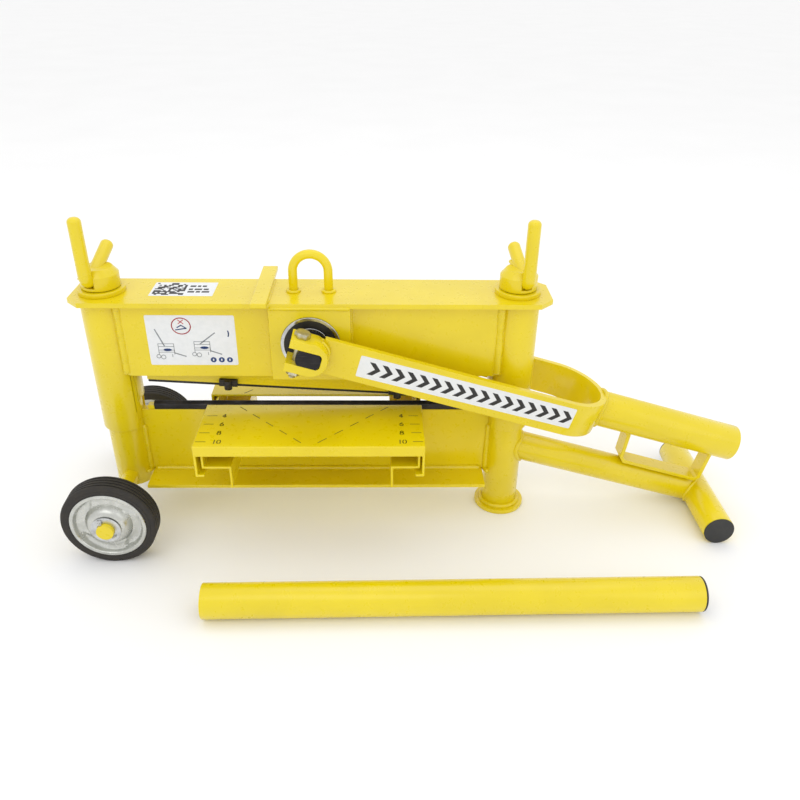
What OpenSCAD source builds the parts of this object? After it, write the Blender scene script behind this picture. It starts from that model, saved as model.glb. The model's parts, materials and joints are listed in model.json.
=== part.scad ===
// Hand-operated paving block splitter: two knives, an eccentric lever and two
// screw columns that set the cutting height.  Millimetres, +Z up, +X towards
// the lever and the foot, -Y towards the operator's side.

/* [Columns and lower beam] */
// Distance from the middle of the machine to each column's axis
column_x = 252.5; // [245:0.1:260]
// Outside radius of the fixed inner tubes
inner_r = 24.1; // [23:0.1:25]
// Outside radius of the sliding outer tubes
outer_r = 28.4; // [28:0.1:30]
// Wall of the column tubes
tube_wall = 3.9; // [3:0.1:4]
// Height of the top of the inner tubes
inner_top = 300; // [290:1:303]
// Height of the lower end of the outer tubes
outer_bottom = 132.9; // [125:1:145]
// Thickness of the lower beam's upright plate
beam_t = 12; // [8:1:16]
// Height of the top of the upright plate
beam_top = 153.4; // [150:0.1:156]
// Width of the flat flange under the beam
flange_w = 92; // [70:1:100]
// Height of the flange's top face
flange_top = 60.5; // [58:0.1:66]
// Thickness of the flange
flange_t = 5; // [4:0.5:8]

/* [Knives] */
// Length of both blades
blade_l = 424; // [400:1:430]
// Thickness of both blades
blade_t = 10; // [8:1:12]
// Height of the lower blade's edge
edge_z = 164.2; // [160:0.1:168]
// Height of the pin that the upper knife rocks on
rock_z = 219.2; // [216:0.1:222]
// Tilt of the upper knife against its stop, right end down
knife_tilt = 3.35; // [2:0.05:3.4]
// Distance from the rocking pin down to the upper edge
edge_drop = 39.3; // [36:0.1:40]

/* [Upper frame] */
// Length of the top plate
plate_l = 579; // [570:1:590]
// Width of the top plate
plate_w = 80; // [70:1:90]
// Height of the top plate's upper face
plate_z = 318; // [314:1:322]
// Thickness of the top plate
plate_t = 6; // [5:0.5:7]
// Cut across each corner of the top plate
plate_corner = 16; // [8:1:20]
// Distance of the web plates' outer faces from the middle
web_y = 28; // [26:0.5:28]
// Thickness of the web plates
web_t = 5; // [4:0.5:6]
// Height of the webs' lower edge
web_bottom = 215.6; // [212:0.1:218]
// Thickness of the bearing plates
bearing_plate_t = 11.4; // [8:0.2:12]
// Width of the bearing plates
bearing_plate_w = 97; // [90:1:110]

/* [Lever] */
// Height of the eccentric shaft's axis
pivot_z = 265; // [264:0.5:266]
// Slope of the lever at rest
lever_drop = 16.3; // [16:0.1:16.3]
// Depth of the lever's flat bar
bar_h = 46; // [40:1:50]
// Thickness of the lever's flat bar
bar_t = 8; // [6:1:10]
// Outside radius of the fork's closed end
fork_r = 57; // [56:0.5:58]
// Distance from the shaft to the centre of the fork's closed end
fork_l = 332.7; // [325:0.1:335]
// Sideways offset of the fork
fork_y = -4; // [-4:0.5:-3]
// Outside radius of the socket tube
socket_r = 23.9; // [23.5:0.1:24.2]
// Bore radius of the socket tube
socket_bore = 21.6; // [21.5:0.1:21.8]
// Distance from the shaft to the socket tube's mouth
socket_end = 588; // [575:1:590]
// Throw of the eccentric
throw = 7; // [5:0.5:7]

/* [Support tables] */
// Width of each table
table_w = 279; // [270:1:285]
// Depth of each table
table_d = 99.3; // [90:0.1:110]
// Gap from the lower edge's plane to the front table
table_gap = 12; // [10:0.5:20]
// Extra gap of the rear table
rear_gap = 2.4; // [0:0.1:10]
// Sheet thickness of tables and rails
sheet = 3; // [2:0.5:3]
// Depth of the lip along the outer edge
lip = 14.6; // [10:0.1:20]
// Depth of the side flanges
side_flange = 44; // [42:0.5:45]

/* [Foot and wheels] */
// Distance from the middle to the cross foot
foot_x = 532.3; // [520:0.1:540]
// Outside radius of the cross foot
foot_r = 20; // [18:0.5:22]
// Half length of the cross foot
foot_half = 96.5; // [90:0.5:100]
// Outside radius of the sloping leg
leg_r = 19.5; // [18:0.5:20]
// Height of the leg's axis at the column's axis
leg_z = 100.4; // [96:0.1:101]
// Outside radius of the tyres
wheel_r = 58.4; // [55:0.1:60]
// Width of the tyres
wheel_w = 27.5; // [24:0.5:30]
// Distance from the middle to each wheel's centre
wheel_y = 114.6; // [110:0.1:120]

/* [Extension tube] */
// Outside radius of the loose tube
ext_r = 21; // [20:0.1:21.2]
// Length of the loose tube
ext_l = 590.5; // [500:0.5:650]

/* [Hidden] */
$fn = 64;

eps = 0.01;
paint = "#E9CF1D";
steel = "#B9BCC0";
black = "#2B2A29";

// slope of the leg from the column's axis to the cross foot's axis
leg_run = foot_x - column_x;
leg_fall = leg_z - foot_r;
leg_angle = atan(leg_fall / leg_run);

// running clearance between solids on different bodies
gap = 0.4;
outer_bore = inner_r + gap;
plate_x = 2.5;
plate_under = plate_z - plate_t;
web_x = column_x - outer_r;
weld = 14;
web_slot_half = 18;
web_slot_top = 173;
web_slot_round = 12;
left_tube_low = 45;
disc_r = 33.7;
disc_t = 6;
round_wall = 3;

// screw columns
screw_r = 9.6;
nut_bore = 9.9;
screw_low = 172;
ring_r = 28;
ring_top = plate_z + 6;
hub_r = 23;
hub_bottom = ring_top + 1;
hub_top = 341;
crown_r = 16.5;
crown_top = 349;

// bearings
race_r = 36;
race_in = 31.5;
cone_out = 22;
cone_in = 17.5;
ball_pitch = 26.75;
ball_r = 5.5;
ball_count = 9;
bearing_out_y = 41;
bearing_in_y = 24;
bearing_mid_y = (bearing_out_y + bearing_in_y) / 2;

// eccentric: rests a little past its lowest point, so that the knife's lift is
// nearly in proportion to the lever's swing
cam_r = 20;
cam_half = 16.5;
cam_phase = 26.5;
cam_low = pivot_z - throw * cos(cam_phase) - cam_r;
carrier_top = cam_low - 1;
carrier_half_x = 48;
beam_half = 12;
beam_up = 8;
rock_r = 5;

// clamps that grip the flatted ends of the shaft
clamp_w = 30;
clamp_out = 21;
clamp_slot = 10;
clamp_back = -25;
clamp_front_y = fork_y - 63;
clamp_rear_y = fork_y + 63;
flat_half = 9.8;
end_r = 15;
bolt_x = -13;
bolt_r = 5;
hex_r = 9.8;
head_h = 6.5;
nut_h = 8;
bolt_end = 13;

// wheel axle
axle_r = 10.5;
bush_bore = 10.56;
bush_r = 14;
rim_r = 47;
washer_y = 134.3;
washer_t = 2;
axle_end = 141;
pin_y = axle_end - 2.6;
pin_tilt = -24;
pin_r = 1.6;

// extents of the whole set, for the origin at its bottom centre
x_low = -column_x - wheel_r;
x_high = socket_end * cos(lever_drop) + socket_r * sin(lever_drop);
ext_x = -123;
ext_y = -218.6;
ext_turn = 0.7;
y_low = ext_y - ext_r * cos(ext_turn);
y_high = axle_end;
origin_x = (x_low + x_high) / 2;
origin_y = (y_low + y_high) / 2;

module at_origin() { translate([-origin_x, -origin_y, 0]) children(); }

// moves the children into the lever's own frame: +X along the lever, +Z across it
module on_lever() {
    translate([0, 0, pivot_z]) rotate([0, lever_drop, 0]) children();
}

// a round bar or tube along Y, centred on y
module along_y(r, h, y = 0) {
    translate([0, y, 0]) rotate([90, 0, 0]) cylinder(r = r, h = h, center = true);
}

// a box given by its low and high corners
module span(low, high) { translate(low) cube(high - low); }

// a pair of children, at the left and the right column
module both_columns() {
    for (side = [-1, 1]) translate([side * column_x, 0, 0]) children();
}

// a pair of children, mirrored front to back
module both_sides() {
    for (side = [0, 1]) mirror([0, side, 0]) children();
}

// ---------- lower beam, columns and leg ----------

module base_web() {
    color(paint) difference() {
        span([-column_x, -beam_t / 2, flange_top], [column_x, beam_t / 2, beam_top]);
        both_columns() cylinder(r = inner_r, h = 400);
    }
}

module base_flange() {
    flange_half = 224.7;
    color(paint) span([-flange_half, -flange_w / 2, flange_top - flange_t],
                      [flange_half, flange_w / 2, flange_top]);
}

module inner_tube(low) {
    difference() {
        translate([0, 0, low]) cylinder(r = inner_r, h = inner_top - low);
        translate([0, 0, low - 1]) cylinder(r = inner_r - tube_wall, h = inner_top - low + 2);
    }
}

module left_inner_tube() {
    color(paint) translate([-column_x, 0, 0]) difference() {
        inner_tube(left_tube_low);
        translate([0, 0, wheel_r]) along_y(axle_r, 4 * inner_r);
    }
}

module right_inner_tube() {
    color(paint) translate([column_x, 0, 0]) inner_tube(disc_t);
}

module spindle_nuts() {
    nut_l = 28;
    color(steel) both_columns() translate([0, 0, inner_top - nut_l - 2]) difference() {
        cylinder(r = inner_r - tube_wall, h = nut_l);
        translate([0, 0, -1]) cylinder(r = nut_bore, h = nut_l + 2);
    }
}

module foot_disc() {
    color(paint) translate([column_x, 0, 0]) cylinder(r = disc_r, h = disc_t);
}

module leg_tube() {
    color(paint) difference() {
        translate([column_x, 0, leg_z]) rotate([0, 90 + leg_angle, 0])
            cylinder(r = leg_r, h = norm([leg_run, leg_fall]));
        translate([column_x, 0, leg_z]) rotate([0, 90 + leg_angle, 0])
            cylinder(r = leg_r - round_wall, h = norm([leg_run, leg_fall]) + 1);
        translate([column_x, 0, 0]) cylinder(r = inner_r, h = 300);
        translate([foot_x, 0, foot_r]) along_y(foot_r, 4 * foot_r);
    }
}

module cross_foot() {
    color(paint) translate([foot_x, 0, foot_r]) difference() {
        along_y(foot_r, 2 * foot_half - 4);
        along_y(foot_r - round_wall, 2 * foot_half);
    }
}

module cross_foot_plugs() {
    color(black) both_sides() translate([foot_x, 0, foot_r]) {
        along_y(foot_r - 0.2, 2, -foot_half + 1);
        along_y(foot_r - round_wall, 14, -foot_half + 9);
    }
}

module axle() {
    color(paint) translate([-column_x, 0, wheel_r]) difference() {
        along_y(axle_r, 2 * axle_end);
        both_sides() translate([0, -pin_y, 0]) rotate([0, pin_tilt, 0])
            cylinder(r = pin_r + 0.1, h = 4 * axle_r, center = true);
    }
}

module axle_washers() {
    outer_washer_r = 18.4;
    inner_washer_r = 16;
    inner_washer_back = 19.4;
    color(steel) both_sides() translate([-column_x, 0, wheel_r]) difference() {
        union() {
            along_y(outer_washer_r, washer_t, -washer_y - washer_t / 2);
            along_y(inner_washer_r, washer_t, -wheel_y + inner_washer_back);
        }
        along_y(axle_r, 400);
    }
}

module cotter_pins() {
    below = 14;
    eye_z = 16;
    eye_r = 2.9;
    wire_r = 1.2;
    color(steel) both_sides() translate([-column_x, -pin_y, wheel_r]) rotate([0, pin_tilt, 0]) {
        translate([0, 0, -below]) cylinder(r = pin_r, h = below + eye_z - 2 * wire_r);
        translate([0, 0, eye_z]) rotate([90, 0, 0])
            rotate_extrude() translate([eye_r, 0]) circle(r = wire_r);
    }
}

// ---------- rails, blade and tables ----------

rail_out = 133;
rail_in = 97;
rail_z = 133.3;
table_top = 164.6;
table_x = -1.2;
rail_lip_top = table_top - sheet - 0.3;

module rail() {
    front = -108;
    back = -beam_t / 2;
    drop = 32;
    span([-rail_out, front, rail_z - sheet], [-rail_out + sheet, back, rail_lip_top]);
    span([-rail_out + sheet, front, rail_z - sheet], [-rail_in - sheet, back, rail_z]);
    span([-rail_in - sheet, front, rail_z - drop], [-rail_in, back, rail_z]);
}

module front_rails() {
    color(paint) for (side = [0, 1]) mirror([side, 0, 0]) rail();
}

module rear_rails() { mirror([0, 1, 0]) front_rails(); }

// a knife of rectangular stock with a V edge along X; the edge is at z = 0
module knife_bar(length, height) {
    flank = 3;
    rotate([90, 0, 90]) linear_extrude(height = length, center = true)
        polygon([[0, 0], [blade_t / 2, -flank], [blade_t / 2, -height],
                 [-blade_t / 2, -height], [-blade_t / 2, -flank]]);
}

module lower_blade() {
    color(black) translate([0, 0, edge_z]) knife_bar(blade_l, edge_z - beam_top);
}

module blade_stops() {
    reach = blade_l / 2;
    stop_l = 8;
    stop_h = 6;
    color(paint) for (side = [0, 1]) mirror([side, 0, 0])
        span([reach, -blade_t / 2, beam_top], [reach + stop_l, blade_t / 2, beam_top + stop_h]);
}

module table(near) {
    half = table_w / 2;
    far = near + table_d;
    bottom = table_top - side_flange;
    hem = 11;
    span([-half, -far, table_top - sheet], [half, -near, table_top]);
    span([-half, -far, table_top - lip], [half, -far + sheet, table_top - sheet]);
    for (side = [0, 1]) mirror([side, 0, 0]) {
        span([-half, -far + sheet, bottom], [-half + sheet, -near, table_top - sheet]);
        span([-half, -far, bottom], [-half + sheet, -far + sheet, table_top - lip]);
        span([-half + sheet, -far, bottom], [-half + hem, -near, bottom + sheet]);
    }
}

module front_table() { color(paint) translate([table_x, 0, 0]) table(table_gap); }

module rear_table() {
    color(paint) translate([table_x, 0, 0]) mirror([0, 1, 0]) table(table_gap + rear_gap);
}

// ---------- wheels ----------

module wheel_place(side) {
    translate([-column_x, side * wheel_y, wheel_r]) rotate([-side * 90, 0, 0]) children();
}

// tyre: three grooves round the tread, local +Z points outwards
module tyre(side) {
    half = wheel_w / 2;
    color(black) wheel_place(side) rotate_extrude($fn = 96) difference() {
        union() {
            translate([rim_r, -half + 2]) square([wheel_r - rim_r, wheel_w - 4]);
            translate([rim_r, -half]) square([wheel_r - rim_r - 2, wheel_w]);
            for (z = [-half + 2, half - 2]) translate([wheel_r - 2, z]) circle(r = 2, $fn = 24);
        }
        for (z = [-6.5, 0, 6.5]) translate([wheel_r - 1.5, z - 0.8]) square([3, 1.6]);
    }
}

module front_tyre() { tyre(-1); }

module rear_tyre() { tyre(1); }

// rim: pressed dish with a raised centre round the bush
module rim(side) {
    half = wheel_w / 2;
    color(steel) wheel_place(side) rotate_extrude($fn = 96) polygon([
        [rim_r - 0.05, -half + 2], [rim_r - 0.05, half], [rim_r - 5, half], [rim_r - 7, half - 8],
        [32, half - 9], [26, half - 3], [22, half + 4], [bush_r + 0.05, half + 5],
        [bush_r + 0.05, half + 3], [21, half + 2], [24.5, half - 4.5], [31.5, half - 11],
        [rim_r - 8.5, half - 10], [rim_r - 7, -half + 8], [rim_r - 2.5, -half + 2]]);
}

module front_rim() { rim(-1); }

module rear_rim() { rim(1); }

module wheel_bush(side) {
    half = wheel_w / 2;
    outer_end = washer_y - wheel_y - 0.3;
    color(steel) wheel_place(side) difference() {
        translate([0, 0, -half - 3]) cylinder(r = bush_r, h = outer_end + half + 3);
        translate([0, 0, -half - 4]) cylinder(r = bush_bore, h = wheel_w + 20);
    }
}

module front_wheel_bush() { wheel_bush(-1); }

module rear_wheel_bush() { wheel_bush(1); }

// ---------- upper frame ----------

module top_plate() {
    half = plate_l / 2;
    wide = plate_w / 2;
    cut = plate_corner;
    color(paint) translate([0, 0, plate_under]) difference() {
        translate([plate_x, 0, 0]) linear_extrude(height = plate_t) polygon([
            [-half, -wide + cut], [-half + cut, -wide], [half - cut, -wide], [half, -wide + cut],
            [half, wide - cut], [half - cut, wide], [-half + cut, wide], [-half, wide - cut]]);
        both_columns() translate([0, 0, -1]) cylinder(r = screw_r + gap, h = plate_t + 2);
    }
}

module web() {
    difference() {
        translate([0, 0, web_bottom]) linear_extrude(height = plate_under - web_bottom)
            polygon([[-web_x, -web_y], [web_x, -web_y], [web_x + weld, -web_y + web_t],
                     [-web_x - weld, -web_y + web_t]]);
        both_columns() cylinder(r = outer_r, h = 400);
        translate([0, 0, pivot_z]) along_y(race_r + 0.05, 4 * race_r);
    }
}

module front_web() { color(paint) web(); }

module rear_web() { color(paint) mirror([0, 1, 0]) web(); }

module bearing_plate() {
    half = bearing_plate_w / 2;
    difference() {
        span([-half, -web_y - bearing_plate_t, web_bottom + 1.4], [half, -web_y, plate_under]);
        translate([0, 0, pivot_z]) along_y(race_r + 0.05, 4 * race_r);
    }
}

module front_bearing_plate() { color(paint) bearing_plate(); }

module rear_bearing_plate() { color(paint) mirror([0, 1, 0]) bearing_plate(); }

// sliding tube, slotted towards +X for the lower beam
module outer_tube() {
    height = plate_under - outer_bottom;
    through = 40;
    corner_y = web_slot_half - web_slot_round;
    difference() {
        translate([0, 0, outer_bottom]) cylinder(r = outer_r, h = height);
        translate([0, 0, outer_bottom - 1]) cylinder(r = outer_bore, h = height + 2);
        span([0, -web_slot_half, outer_bottom - 1],
             [through, web_slot_half, web_slot_top - web_slot_round]);
        span([0, -corner_y, outer_bottom], [through, corner_y, web_slot_top]);
        for (y = [-corner_y, corner_y])
            translate([through / 2, y, web_slot_top - web_slot_round]) rotate([0, 90, 0])
                cylinder(r = web_slot_round, h = through, center = true);
    }
}

module left_outer_tube() { color(paint) translate([-column_x, 0, 0]) outer_tube(); }

module right_outer_tube() {
    color(paint) translate([column_x, 0, 0]) mirror([1, 0, 0]) outer_tube();
}

module top_strap() {
    left = -67;
    right = -48;
    front = -54;
    back = 71;
    color(paint) span([left, front, plate_z], [right, back, plate_z + 6]);
}

// bent round bar: an arch on two straight legs
module lifting_eye() {
    rod = 5.5;
    arch = 21.3;
    eye_top = 370.9;
    crown = eye_top - rod - arch;
    color(paint) {
        for (side = [-1, 1]) translate([side * arch, 0, plate_z])
            cylinder(r = rod, h = crown - plate_z, $fn = 32);
        translate([0, 0, crown]) rotate([90, 0, 0])
            rotate_extrude(angle = 180) translate([arch, 0]) circle(r = rod, $fn = 32);
    }
}

module thrust_rings() {
    color(paint) both_columns() translate([0, 0, plate_z]) difference() {
        cylinder(r = ring_r, h = ring_top - plate_z);
        translate([0, 0, -1]) cylinder(r = screw_r + gap, h = 10);
    }
}

module race_groove(clear) {
    rotate_extrude() translate([ball_pitch, 0]) circle(r = ball_r + clear, $fn = 32);
}

module bearing_place() {
    both_sides() translate([0, -bearing_mid_y, pivot_z]) rotate([90, 0, 0]) children();
}

bearing_w = bearing_out_y - bearing_in_y;

module bearing_outer_rings() {
    color(steel) bearing_place() difference() {
        cylinder(r = race_r, h = bearing_w, center = true);
        cylinder(r = race_in, h = bearing_w + 2, center = true);
        race_groove(0.02);
    }
}

module bearing_inner_rings() {
    color(steel) bearing_place() difference() {
        cylinder(r = cone_out, h = bearing_w, center = true);
        cylinder(r = cone_in + 0.02, h = bearing_w + 2, center = true);
        race_groove(0.3);
    }
}

module bearing_balls() {
    color(steel) bearing_place() for (i = [0 : ball_count - 1])
        rotate([0, 0, i * 360 / ball_count]) translate([ball_pitch, 0, 0]) sphere(r = ball_r, $fn = 32);
}

module bearing_seals() {
    color(black) bearing_place() for (z = [-bearing_w / 2 + 0.6, bearing_w / 2 - 1.6])
        translate([0, 0, z]) difference() {
            cylinder(r = race_in, h = 1);
            translate([0, 0, -1]) cylinder(r = cone_out + 0.4, h = 3);
        }
}

// sleeves that hold the place of the two coil springs which lift the knife
module return_springs() {
    spring_x = 38;
    spring_r = 7;
    spring_bore = 5;
    height = plate_under - carrier_top;
    color(steel) for (side = [-1, 1]) translate([side * spring_x, 0, carrier_top]) difference() {
        cylinder(r = spring_r, h = height);
        translate([0, 0, -1]) cylinder(r = spring_bore, h = height + 2);
    }
}

// ---------- screw columns ----------

module screw() {
    collar_r = 16;
    collar_h = 7;
    color(steel) {
        translate([0, 0, screw_low]) cylinder(r = screw_r, h = hub_bottom - screw_low);
        translate([0, 0, plate_under - collar_h - 0.3]) cylinder(r = collar_r, h = collar_h);
    }
}

// one bar bent into a V: an upright leg and a leg that leans back over the hub
module grip_bars() {
    grip_r = 8;
    corner = [8, -24, 330];
    yaw = 101;
    lean = 60.3;
    bend_low = 328.4;
    upright_top = 416;
    leaning_start = 6;
    leaning_l = 74;
    translate([corner[0], corner[1], bend_low]) cylinder(r = grip_r, h = upright_top - bend_low);
    translate(corner) rotate([0, 0, yaw]) rotate([0, lean, 0]) translate([0, 0, leaning_start])
        cylinder(r = grip_r, h = leaning_l - leaning_start);
}

module grips() { color(paint) grip_bars(); }

module hub() {
    color(paint) difference() {
        union() {
            translate([0, 0, hub_bottom]) cylinder(r = hub_r, h = hub_top - hub_bottom);
            translate([0, 0, hub_top]) cylinder(r1 = hub_r, r2 = crown_r, h = crown_top - hub_top);
        }
        grip_bars();
    }
}

module left_column() { translate([-column_x, 0, 0]) mirror([1, 0, 0]) children(); }

module right_column() { translate([column_x, 0, 0]) children(); }

module left_screw() { left_column() screw(); }

module left_hub() { left_column() hub(); }

module left_grips() { left_column() grips(); }

module right_screw() { right_column() screw(); }

module right_hub() { right_column() hub(); }

module right_grips() { right_column() grips(); }

// ---------- eccentric shaft and lever ----------

// flatted end with a groove for the clamp's bolt
module shaft_end(low, high) {
    rotate([90, 0, 0]) translate([0, 0, -high]) linear_extrude(height = high - low)
        intersection() {
            circle(r = end_r);
            square([4 * end_r, 2 * flat_half], center = true);
        }
}

module eccentric_shaft() {
    front = clamp_front_y + clamp_w / 2;
    rear = clamp_rear_y - clamp_w / 2;
    lobe = cam_phase + lever_drop;
    color(black) on_lever() difference() {
        union() {
            span_y(cone_in, front, -cam_half);
            span_y(cone_in, cam_half, rear);
            translate([throw * sin(lobe), 0, -throw * cos(lobe)]) along_y(cam_r, 2 * cam_half);
            shaft_end(front - clamp_w, front);
            shaft_end(rear, rear + clamp_w);
        }
        for (y = [clamp_front_y, clamp_rear_y]) translate([bolt_x, y, 0])
            cylinder(r = bolt_r + 0.4, h = 50, center = true);
    }
}

// a round bar along Y from one place to another
module span_y(r, low, high) { along_y(r, high - low, (low + high) / 2); }

module clamp_solid(y) {
    translate([0, y, 0]) rotate([90, 0, 0]) linear_extrude(height = clamp_w, center = true) {
        translate([clamp_back, -clamp_out]) square([2 - clamp_back, 2 * clamp_out]);
        translate([2, 0]) circle(r = clamp_out);
    }
}

module clamp(y) {
    slot_end = end_r + 0.2;
    corner = 5;
    difference() {
        clamp_solid(y);
        translate([0, y, 0]) rotate([90, 0, 0]) linear_extrude(height = clamp_w + 2, center = true) {
            translate([clamp_back - 1, -clamp_slot])
                square([slot_end - corner - clamp_back + 1, 2 * clamp_slot]);
            translate([0, -clamp_slot + corner]) square([slot_end, 2 * (clamp_slot - corner)]);
            for (z = [-1, 1]) translate([slot_end - corner, z * (clamp_slot - corner)])
                circle(r = corner, $fn = 32);
        }
        translate([bolt_x, y, 0]) cylinder(r = bolt_r + 0.3, h = 100, center = true);
    }
}

module front_clamp() { color(paint) on_lever() clamp(clamp_front_y); }

module rear_clamp() { color(paint) on_lever() clamp(clamp_rear_y); }

module clamp_bolts() {
    color(steel) on_lever() for (y = [clamp_front_y, clamp_rear_y]) translate([bolt_x, y, 0]) {
        translate([0, 0, clamp_out]) cylinder(r = hex_r, h = head_h, $fn = 6);
        translate([0, 0, -clamp_out - bolt_end]) cylinder(r = bolt_r, h = 2 * clamp_out + bolt_end);
    }
}

module clamp_nuts() {
    color(steel) on_lever() for (y = [clamp_front_y, clamp_rear_y])
        translate([bolt_x, y, -clamp_out - nut_h]) difference() {
            cylinder(r = hex_r, h = nut_h, $fn = 6);
            translate([0, 0, -1]) cylinder(r = bolt_r + 0.02, h = nut_h + 2);
        }
}

module lever_fork() {
    inside = fork_r - bar_t;
    start = 14;
    color(paint) on_lever() difference() {
        translate([0, fork_y, -bar_h / 2]) linear_extrude(height = bar_h) difference() {
            union() {
                translate([fork_l, 0]) circle(r = fork_r, $fn = 96);
                translate([start, -fork_r]) square([fork_l - start, 2 * fork_r]);
            }
            translate([fork_l, 0]) circle(r = inside, $fn = 96);
            translate([start - 1, -inside]) square([fork_l - start + 1, 2 * inside]);
        }
        clamp_solid(clamp_front_y);
        clamp_solid(clamp_rear_y);
    }
}

module socket_tube() {
    start = fork_l + 40;
    bore_start = fork_l + fork_r + 1.3;
    color(paint) on_lever() difference() {
        translate([start, fork_y, 0]) rotate([0, 90, 0])
            cylinder(r = socket_r, h = socket_end - start);
        translate([bore_start, fork_y, 0]) rotate([0, 90, 0])
            cylinder(r = socket_bore, h = socket_end - fork_l);
        translate([fork_l, fork_y, -100]) cylinder(r = fork_r, h = 200, $fn = 96);
    }
}

// flat bar bent into a trough under the socket tube; it rests on the leg
module grip_bracket() {
    thick = 5;
    low = -65.9;
    color(paint) on_lever() difference() {
        translate([0, fork_y, 0]) rotate([90, 0, 0]) linear_extrude(height = 25, center = true)
            polygon([[436, 0], [445.5, low + 7], [453, low], [562, low], [568.5, low + 7],
                     [564, 0], [564 - thick, 0], [563, low + thick + 3],
                     [560, low + thick], [455, low + thick], [450.5, low + thick + 3],
                     [436 + thick, 0]]);
        translate([300, fork_y, 0]) rotate([0, 90, 0]) cylinder(r = socket_r, h = 400);
    }
}

// ---------- upper knife ----------

// clevis that the eccentric presses down, with two wings for the springs
module knife_carrier() {
    cheek = 28;
    cheek_t = 3;
    cheek_y = beam_half + 0.3;
    low = rock_z - 6.5;
    color(black) difference() {
        union() {
            span([-carrier_half_x, -cheek_y - cheek_t, carrier_top - 4.4],
                 [carrier_half_x, cheek_y + cheek_t, carrier_top]);
            for (y = [-cheek_y - cheek_t, cheek_y])
                span([-cheek, y, low], [cheek, y + cheek_t, carrier_top - 4.4 + eps]);
        }
        translate([0, 0, rock_z]) along_y(rock_r, 100);
    }
}

module rocking_pin() {
    color(steel) translate([0, 0, rock_z]) along_y(rock_r, 2 * (beam_half + 3.2));
}

// moves the children to the rocking pin and tilts them
module on_knife() { translate([0, 0, rock_z]) rotate([0, knife_tilt, 0]) children(); }

module knife_beam() {
    half = blade_l / 2 - 1;
    color(paint) on_knife() difference() {
        span([-half, -beam_half, -edge_drop + 10], [half, beam_half, beam_up]);
        along_y(rock_r + 0.06, 100);
    }
}

module upper_blade() {
    color(black) on_knife() translate([0, 0, -edge_drop]) rotate([180, 0, 0]) knife_bar(blade_l, 10);
}

// screwed clips that hold the upper blade to its beam
module blade_clips() {
    clip_x = 108;
    clip_half = 11.5;
    clip_out = 5;
    screw_d = 10;
    color(black) on_knife() for (x = [-clip_x, clip_x])
        translate([x, -beam_half, -edge_drop + 10]) {
            span([-clip_half, -clip_out, -2], [clip_half, 0, 7]);
            translate([0, -clip_out, -5]) cylinder(d = screw_d, h = 12);
        }
}

// ---------- loose extension tube ----------

plug_lip = 2.5;
plug_l = 20;

module on_extension() {
    translate([ext_x, ext_y, ext_r]) rotate([0, 0, ext_turn]) rotate([0, 90, 0]) children();
}

module extension_tube() {
    color(paint) on_extension() difference() {
        cylinder(r = ext_r, h = ext_l - plug_lip);
        translate([0, 0, -1]) cylinder(r = ext_r - round_wall, h = ext_l + 2);
    }
}

module extension_plug() {
    color(black) on_extension() {
        translate([0, 0, ext_l - plug_lip]) cylinder(r = ext_r - 0.2, h = plug_lip);
        translate([0, 0, ext_l - plug_l]) cylinder(r = ext_r - round_wall, h = plug_l - plug_lip);
    }
}

at_origin() base_web();
at_origin() base_flange();
at_origin() left_inner_tube();
at_origin() right_inner_tube();
at_origin() spindle_nuts();
at_origin() foot_disc();
at_origin() leg_tube();
at_origin() cross_foot();
at_origin() cross_foot_plugs();
at_origin() axle();
at_origin() axle_washers();
at_origin() cotter_pins();
at_origin() front_rails();
at_origin() rear_rails();
at_origin() lower_blade();
at_origin() blade_stops();
at_origin() front_tyre();
at_origin() front_rim();
at_origin() front_wheel_bush();
at_origin() rear_tyre();
at_origin() rear_rim();
at_origin() rear_wheel_bush();
at_origin() top_plate();
at_origin() front_web();
at_origin() rear_web();
at_origin() front_bearing_plate();
at_origin() rear_bearing_plate();
at_origin() left_outer_tube();
at_origin() right_outer_tube();
at_origin() top_strap();
at_origin() lifting_eye();
at_origin() thrust_rings();
at_origin() bearing_outer_rings();
at_origin() bearing_seals();
at_origin() bearing_balls();
at_origin() return_springs();
at_origin() left_screw();
at_origin() left_hub();
at_origin() left_grips();
at_origin() right_screw();
at_origin() right_hub();
at_origin() right_grips();
at_origin() eccentric_shaft();
at_origin() bearing_inner_rings();
at_origin() lever_fork();
at_origin() front_clamp();
at_origin() rear_clamp();
at_origin() clamp_bolts();
at_origin() clamp_nuts();
at_origin() socket_tube();
at_origin() grip_bracket();
at_origin() knife_carrier();
at_origin() rocking_pin();
at_origin() knife_beam();
at_origin() upper_blade();
at_origin() blade_clips();
at_origin() front_table();
at_origin() rear_table();
at_origin() extension_tube();
at_origin() extension_plug();
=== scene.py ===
import json
import math
import random

import bmesh
import bpy
from mathutils import Matrix, Vector


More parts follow.
